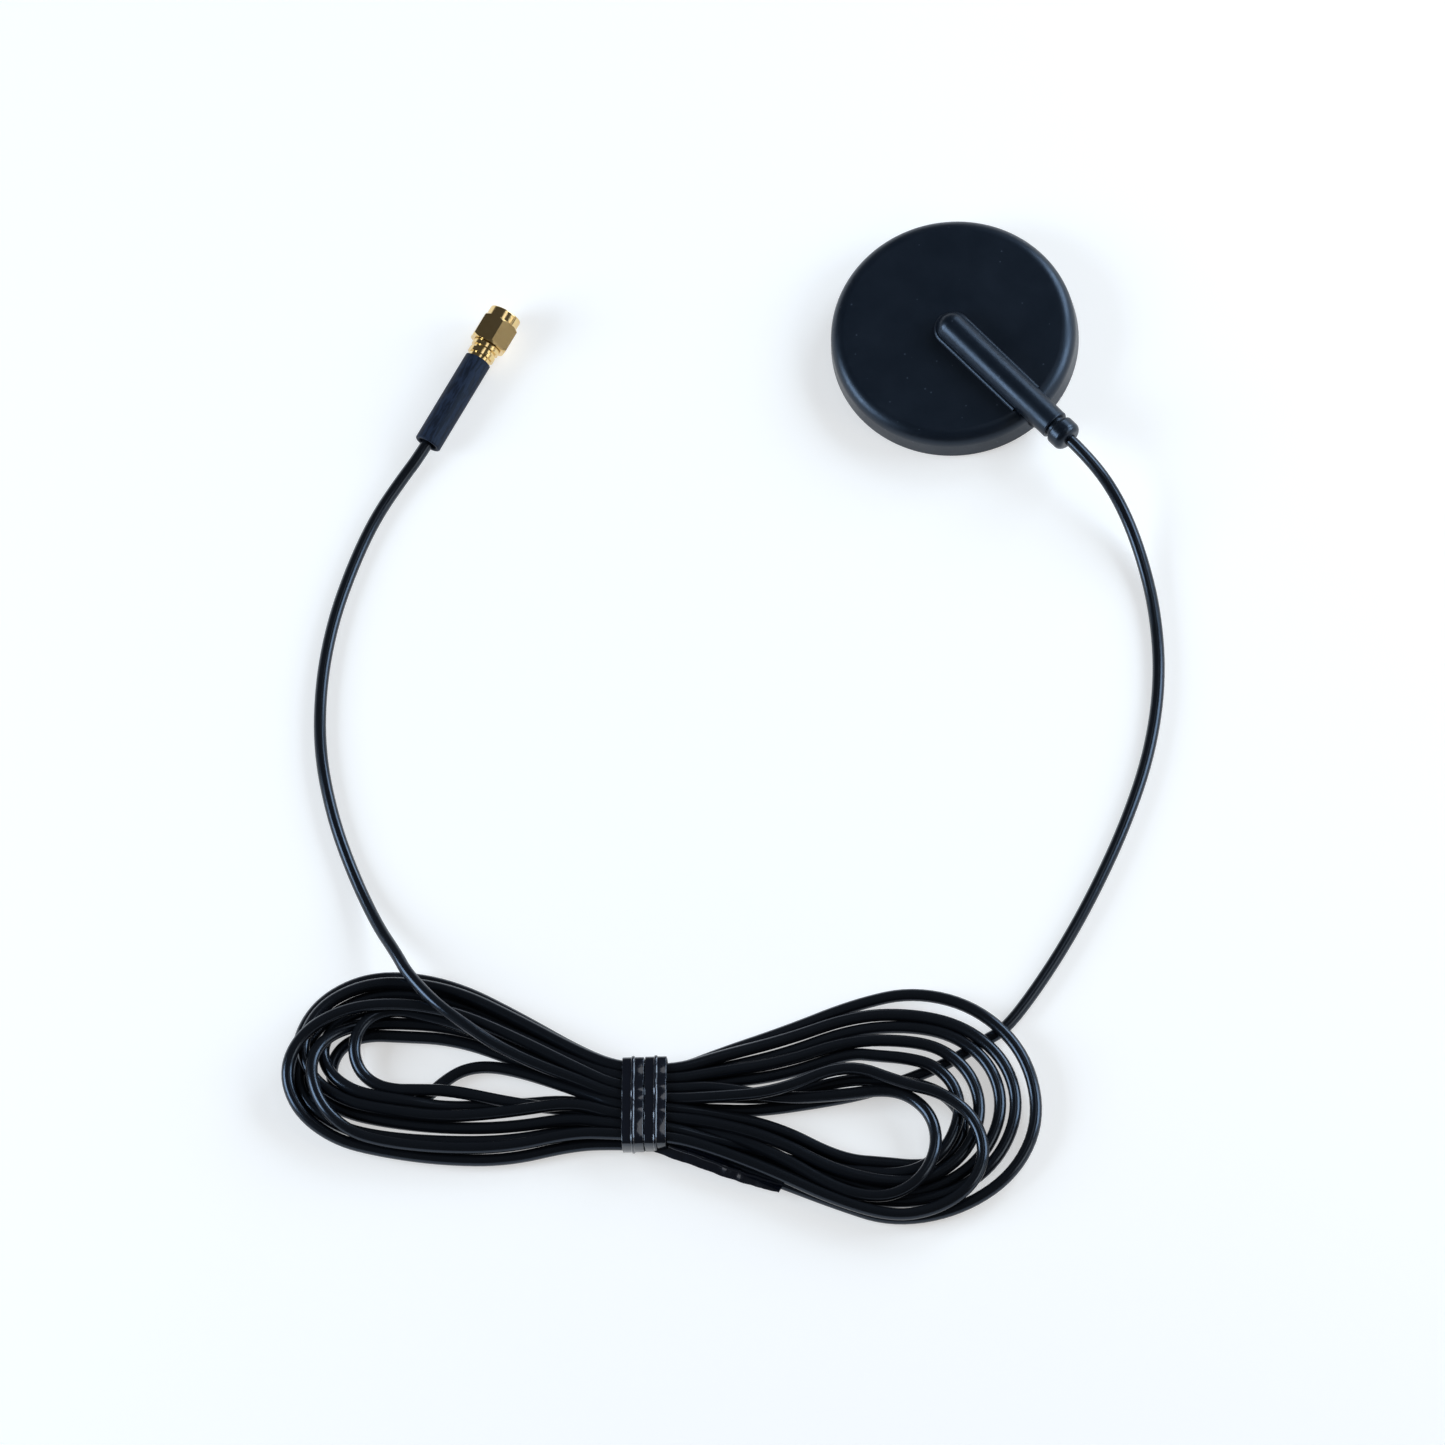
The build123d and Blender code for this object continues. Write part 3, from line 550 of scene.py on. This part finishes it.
def loopPoints(loop):
    sign = -1 if loop["side"] == "left" else 1
    aboveV, aboveZ = slotPlace(loop["above"], True)
    belowV, belowZ = slotPlace(loop["below"], False)
    aboveShare = (loop["above"] - 1) / (upperRanks - 1)
    belowShare = (loop["below"] - 1) / (lowerRanks - 1)
    aboveChange = (loop.get("laneAbove", aboveShare) - aboveShare) / 2
    belowChange = (loop.get("laneBelow", belowShare) - belowShare) / 2
    outward = [(hank["tieEdge"], aboveV)]
    inward = [(hank["tieEdge"], belowV)]
    for number, (u, outer, inner, outerLow, innerLow) in enumerate(gates[loop["side"]]):
        outward.append((u, outer + (inner - outer) * (aboveShare + aboveChange * number)))
        inward.append((u, outerLow + (innerLow - outerLow) * (belowShare + belowChange * number)))
    asked = loop["reach"] - loop.get("corner", hank["lobeCorner"])
    width = max(asked, (loop["top"] - loop["bottom"]) * hank["endShare"])
    corner = loop["reach"] - width
    before = corner - width / 2
    if before > hank["tightFrom"]:
        share = (before - outward[-1][0]) / (corner - outward[-1][0])
        for group, end in ((outward, loop["top"]), (inward, loop["bottom"])):
            group.append((before, group[-1][1] + (end - group[-1][1]) * share))
    bend = []
    for angle in hank["endAngles"]:
        turn = math.radians(angle)
        height = loop["top"] - loop["tip"] if angle <= 90 else loop["tip"] - loop["bottom"]
        out = width * math.sin(turn) * hank["fullness"]
        bend.append((corner + out, loop["tip"] + height * math.cos(turn)))
    if loop["side"] == "left" and loop["below"] == lowerRanks:
        flat = [(u * sign, v) for u, v in outward + bend] + crossingUp
        flat.append((inward[0][0] * sign, belowV))
    else:
        flat = [(u * sign, v) for u, v in outward + bend + inward[::-1]]
    last = len(flat) - 1
    placed = [(u, v, aboveZ + (belowZ - aboveZ) * i / last) for i, (u, v) in enumerate(flat)]
    return placed if sign < 0 else placed[::-1]


def fromHank(u, v, z):
    turn = math.radians(hank["heading"])
    x = hank["centre"][0] + u * math.cos(turn) - v * math.sin(turn)
    y = hank["centre"][1] + u * math.sin(turn) + v * math.cos(turn)
    return x, y, z


def layLead():
    points, pile, held = [], [], []

    def add(places, level, fixed, fixedEnds=False):
        for number, place in enumerate(places):
            points.append(place)
            pile.append(level)
            held.append(fixed or (fixedEnds and number in (0, len(places) - 1)))

    radius = hank["diameter"] / 2
    add([(x / mm, y / mm, z / mm) for x, y, z in antennaRoute], 0, True)
    add([fromHank(u, v, radius) for u, v in underRight], 0, False)
    firstV, firstZ = slotPlace(upperRanks, True)
    add([fromHank(hank["tieEdge"], firstV, firstZ)], 0, True)
    for loop in loops:
        add([fromHank(*p) for p in loopPoints(loop)], loop["pile"], False, fixedEnds=True)
    lastV, lastZ = slotPlace(loops[-1]["above"], True)
    add([fromHank(-hank["tieEdge"], lastV, lastZ)], topPile, True)
    base, rise = hank["overBase"] * radius, hank["overRise"]
    over = [fromHank(u, v, base + number * radius * rise) for number, (u, v) in enumerate(overLeft)]
    add(over, topPile, False)
    add([(x / mm, y / mm, z / mm) for x, y, z in connectorRoute], topPile, True)
    for reach in (-hank["exitLength"], hank["jacketInside"]):
        add([tuple((plugMouth + plugAxis * reach * mm) / mm)], topPile, True)
    return np.array(points), np.array(pile, float), np.array(held)


def splineWeights(count, perSpan):
    index, weight = [], []
    for span in range(count - 2):
        for step in range(perSpan):
            t = (step + 0.5) / perSpan
            index.append((span, span + 1, span + 2))
            weight.append(((1 - t) ** 2 / 2, 0.5 + t - t * t, t * t / 2))
    return np.array(index), np.array(weight)


# The hank's turns settle under their own weight: strands that cross keep their order in the pile,
# and strands that run side by side push each other apart
settling = {
    "rounds": 260,
    "lastRounds": 20,  # at the end the lead no longer sinks and isn't drawn back to its place
    "lookEvery": 6,  # rounds after which neighbours are looked for again
    "lookReach": 2.2,  # diameters
    "ownPart": 8,  # samples along the lead that are no neighbours
    "perSpan": 5,
    "sink": 0.05,
    "tether": 0.015,
    "evening": 0.1,
    "crossing": 0.94,  # cosine of the angle past which strands cross
    "stacking": 0.4,
    "leastShare": 0.6,  # a point that few samples move takes no more than their part
}


def findNeighbours(line, level):
    heading = np.gradient(line, axis=0)
    heading /= np.linalg.norm(heading, axis=1)[:, None]
    rows = np.arange(len(line))
    gap = np.abs(line[:, None, 0] - line[None, :, 0]) + np.abs(line[:, None, 1] - line[None, :, 1])
    near = gap < settling["lookReach"] * hank["diameter"]
    first, second = np.nonzero(near & (rows[None, :] - rows[:, None] > settling["ownPart"]))
    across = np.abs((heading[first] * heading[second]).sum(1)) < settling["crossing"]
    above = np.sign(level[first] - level[second])
    above[above == 0] = 1
    return first, second, across, above


def pushApart(line, first, second, across, above):
    diameter = hank["diameter"]
    apart = line[first] - line[second]
    flat = np.hypot(apart[:, 0], apart[:, 1])
    push = np.zeros_like(apart)
    lift = np.sqrt(np.maximum(diameter ** 2 - flat ** 2, 0)) - above * apart[:, 2]
    touching = across & (flat < diameter) & (lift > 0)
    push[touching, 2] = above[touching] * lift[touching] / 2
    reach = np.linalg.norm(apart, axis=1)
    beside = ~across & (reach < diameter)
    direction = apart + np.array((0, 0, settling["stacking"])) * above[:, None]
    direction /= np.linalg.norm(direction, axis=1)[:, None]
    push[beside] = direction[beside] * (diameter - reach[beside])[:, None] / 2
    moved = np.zeros_like(line)
    count = np.zeros(len(line))
    active = touching | beside
    for side, sign in ((first, 1), (second, -1)):
        np.add.at(moved, side[active], push[active] * sign)
        np.add.at(count, side[active], 1)
    return moved / np.maximum(count, 1)[:, None], count


def settleLead(points, pile, held):
    index, weight = splineWeights(len(points), settling["perSpan"])
    start = points.copy()
    free = (~held).astype(float)[:, None]
    level = pile[index[:, 1]]
    for turn in range(settling["rounds"]):
        line = (points[index] * weight[..., None]).sum(1)
        if turn % settling["lookEvery"] == 0:
            neighbours = findNeighbours(line, level)
        moved, count = pushApart(line, *neighbours)
        low = hank["diameter"] / 2 - line[:, 2] - moved[:, 2]
        moved[:, 2] += np.maximum(low, 0)
        busy = (count > 0) | (low > 0)
        total = np.zeros_like(points)
        share = np.zeros(len(points))
        for k in range(3):
            np.add.at(total, index[:, k], moved * weight[:, k:k + 1])
            np.add.at(share, index[:, k], weight[:, k] * busy)
        step = total / np.maximum(share, settling["leastShare"])[:, None]
        if turn < settling["rounds"] - settling["lastRounds"]:
            step[:, 2] -= settling["sink"]
            step[:, :2] += (start - points)[:, :2] * settling["tether"]
        shift = (points - start)[:, :2]
        step[1:-1, :2] += (shift[:-2] + shift[2:] - 2 * shift[1:-1]) * settling["evening"]
        step[1:-1, 2] += (points[:-2, 2] + points[2:, 2] - 2 * points[1:-1, 2]) * settling["evening"]
        points = points + step * free
    return points


def layCurve(name, points, closed, steps):
    curve = bpy.data.curves.new(name, "CURVE")
    curve.dimensions = "3D"
    spline = curve.splines.new("NURBS")
    spline.points.add(len(points) - 1)
    for point, place in zip(spline.points, points):
        point.co = (*(c * mm for c in place), 1)
    spline.order_u = 3
    spline.use_cyclic_u = closed
    spline.use_endpoint_u = not closed
    curve.resolution_u = steps
    spline.resolution_u = steps
    obj = bpy.data.objects.new(name, curve)
    bpy.context.collection.objects.link(obj)
    return obj


def makeLead(jacket):
    points = settleLead(*layLead())
    obj = layCurve("coaxLead", points, False, hank["curveSteps"])
    curve = obj.data
    curve.bevel_depth = hank["diameter"] / 2 * mm
    curve.bevel_resolution = hank["bevelSteps"]
    curve.use_fill_caps = True
    curve.materials.append(jacket)
    print("lead laid with", len(points), "points, top at", round(float(points[:, 2].max()), 2))
    return obj


# The tie: a flat film with a wire in its middle, two turns round the waist and a twisted tail
tie = {
    "bandWidth": 4.7,
    "filmThickness": 0.3,
    "edgeRound": 0.12,
    "wireRadius": 0.46,
    "wireSides": 16,
    "bandOffset": 2.46,  # each turn's middle from the tie's middle
    "turnStep": 0.08,  # how much higher the second turn lies
    "yaw": 4.5,  # degrees that the turns are off square
    "waistHalf": 10.5,
    "waistLow": 0.45,
    "waistHigh": 6.5,
    "corner": 2.6,
    "inset": 0.3,
    "dip": 0.1,  # how the film follows the strands under it
    "crest": 0.4,
    "dentScale": 420.0,
    "unevenness": 0.28,
    "tail": [(3.6, -8.6, 3.4), (8.6, -10.2, 3.4), (14.0, -12.0, 3.2), (20.4, -14.0, 2.8),
             (26.0, -15.6, 2.4), (31.6, -16.8, 2.2)],
    "tailWidth": 4.8,
    "tailLean": 14.0,  # degrees off flat where the tail leaves the turns
    "tailTwist": -34.0,
    "sampleStep": 0.5,
    "curveSteps": 8,
    "sharpAngle": 50.0,  # degrees past which an edge of the film stays sharp
}


def makeRibbonTree():
    tree = bpy.data.node_groups.new("wiredRibbon", "GeometryNodeTree")
    for label, kind, value in (
        ("Geometry", "NodeSocketGeometry", None), ("Width", floatKind, 0.0047),
        ("Thickness", floatKind, 0.0003), ("Wire Radius", floatKind, 0.0004),
        ("Across", vectorKind, (1, 0, 0)), ("Lean", floatKind, 0.0), ("Twist", floatKind, 0.0),
        ("Unevenness", floatKind, 0.0001), ("Seed", floatKind, 1.0),
        ("Material", "NodeSocketMaterial", None),
    ):
        socket = tree.interface.new_socket(name=label, in_out="INPUT", socket_type=kind)
        if value is not None:
            socket.default_value = value
    tree.interface.new_socket(name="Geometry", in_out="OUTPUT", socket_type="NodeSocketGeometry")
    given = addNode(tree, "NodeGroupInput").outputs
    even = addNode(tree, "GeometryNodeResampleCurve", {
        "Curve": given["Geometry"], "Length": tie["sampleStep"] * mm,
    }, mode="LENGTH")
    dents = addNode(tree, "ShaderNodeTexNoise", {  # the film dents where it lies over the strands
        "Scale": tie["dentScale"], "Detail": 1, "W": given["Seed"],
    }, noise_dimensions="4D")
    centred = addNode(tree, "ShaderNodeVectorMath", {
        0: dents.outputs["Color"], 1: (0.5, 0.5, 0.5),
    }, operation="SUBTRACT")
    sized = addNode(tree, "ShaderNodeVectorMath", {
        0: centred.outputs[0], "Scale": given["Unevenness"],
    }, operation="SCALE")
    moved = addNode(tree, "GeometryNodeSetPosition", {
        "Geometry": even.outputs["Curve"], "Offset": sized.outputs[0],
    })
    facing = addNode(tree, "GeometryNodeSetCurveNormal", {
        "Curve": moved.outputs["Geometry"], "Normal": given["Across"],
    }, mode="FREE")
    along = addNode(tree, "GeometryNodeSplineParameter").outputs["Factor"]
    tilt = addNode(tree, "GeometryNodeSetCurveTilt", {
        "Curve": facing.outputs["Curve"],
        "Tilt": addMath(tree, "MULTIPLY_ADD", along, given["Twist"], given["Lean"]),
    })
    film = addNode(tree, "GeometryNodeCurvePrimitiveQuadrilateral", {
        "Width": given["Width"], "Height": given["Thickness"],
    })
    edges = addNode(tree, "GeometryNodeFilletCurve", {
        "Curve": film.outputs["Curve"], "Count": 2, "Radius": tie["edgeRound"] * mm,
    }, mode="POLY")
    wire = addNode(tree, "GeometryNodeCurvePrimitiveCircle", {
        "Resolution": tie["wireSides"], "Radius": given["Wire Radius"],
    })
    join = addNode(tree, "GeometryNodeJoinGeometry")
    for profile in (edges, wire):
        sweep = addNode(tree, "GeometryNodeCurveToMesh", {
            "Curve": tilt.outputs["Curve"], "Profile Curve": profile.outputs["Curve"], "Fill Caps": True,
        })
        tree.links.new(sweep.outputs["Mesh"], join.inputs["Geometry"])
    realize = addNode(tree, "GeometryNodeRealizeInstances", {"Geometry": join.outputs["Geometry"]})
    finish = addNode(tree, "GeometryNodeSetMaterial", {
        "Geometry": realize.outputs["Geometry"], "Material": given["Material"],
    })
    addNode(tree, "NodeGroupOutput", {"Geometry": finish.outputs["Geometry"]})
    return tree


def sweepRibbon(name, tree, points, closed, values):
    obj = layCurve(name, points, closed, tie["curveSteps"])
    mod = obj.modifiers.new("ribbon", "NODES")
    mod.node_group = tree
    shared = {"Thickness": tie["filmThickness"] * mm, "Wire Radius": tie["wireRadius"] * mm}
    sockets = {item.name: item.identifier for item in tree.interface.items_tree if item.in_out == "INPUT"}
    for label, value in {**shared, **values}.items():
        mod[sockets[label]] = value
    bpy.context.view_layer.update()
    depsgraph = bpy.context.evaluated_depsgraph_get()
    mesh = bpy.data.meshes.new_from_object(obj.evaluated_get(depsgraph))
    bpy.data.objects.remove(obj)
    return mesh


def makeTurns(tree, film):
    half, low, high, corner, inset, dip, crest = (
        tie[k] for k in ("waistHalf", "waistLow", "waistHigh", "corner", "inset", "dip", "crest")
    )
    loop = [
        (-half + corner, high), (-2 * corner, high - dip), (-corner, high + crest), (0, high - dip),
        (corner, high + crest), (2 * corner, high - dip), (half - corner, high),
        (half - inset, high - inset), (half, high - corner), (half, low + corner),
        (half - inset, low + inset), (half - corner, low), (0, low), (-half + corner, low),
        (-half + inset, low + inset), (-half, low + corner), (-half, high - corner),
        (-half + inset, high - inset),
    ]
    yaw = math.radians(tie["yaw"])
    heading = math.radians(hank["heading"]) + yaw
    across = (math.cos(heading), math.sin(heading), 0.0)
    meshes = []
    for number, offset in enumerate((-tie["bandOffset"], tie["bandOffset"])):
        points = []
        for v, z in loop:
            u = offset * math.cos(yaw) - v * math.sin(yaw)
            v = offset * math.sin(yaw) + v * math.cos(yaw)
            points.append(fromHank(u, v, z + number * tie["turnStep"]))
        meshes.append(sweepRibbon("tieTurn", tree, points, True, {
            "Width": tie["bandWidth"] * mm, "Across": across, "Unevenness": tie["unevenness"] * mm,
            "Seed": 3.0 + number, "Material": film,
        }))
    return meshes


def makeTail(tree, film):
    points = [fromHank(*place) for place in tie["tail"]]
    run = Vector(points[-1]) - Vector(points[0])
    side = Vector((-run.y, run.x, 0)).normalized()
    return sweepRibbon("tieTail", tree, points, False, {
        "Width": tie["tailWidth"] * mm, "Across": tuple(side), "Lean": math.radians(tie["tailLean"]),
        "Twist": math.radians(tie["tailTwist"]), "Unevenness": tie["unevenness"] * 2 * mm,
        "Seed": 9.0, "Material": film,
    })


def makeTie(film):
    tree = makeRibbonTree()
    joined = bmesh.new()
    for mesh in (*makeTurns(tree, film), makeTail(tree, film)):
        joined.from_mesh(mesh)
    bmesh.ops.recalc_face_normals(joined, faces=joined.faces)
    for face in joined.faces:
        face.smooth = True
    whole = bpy.data.meshes.new("twistTie")
    joined.to_mesh(whole)
    joined.free()
    whole.materials.append(film)
    whole.set_sharp_from_angle(angle=math.radians(tie["sharpAngle"]))
    obj = bpy.data.objects.new("twistTie", whole)
    bpy.context.collection.objects.link(obj)
    print("tie made with", len(whole.polygons), "faces")
    return obj


makeCamera()
makeTable()
makeSky()
makeLamps()
print("camera and studio made")
jacket = dressFrame()
print("pieces of the frame dressed")
lead = makeLead(jacket)
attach(lead, "antenna")
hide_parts("cable_antenna_run", "cable_hank", "cable_connector_run")
twistTie = makeTie(tiePlastic())
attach(twistTie, "antenna")
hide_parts("twist_tie")
bpy.context.scene.view_settings.view_transform = "Standard"
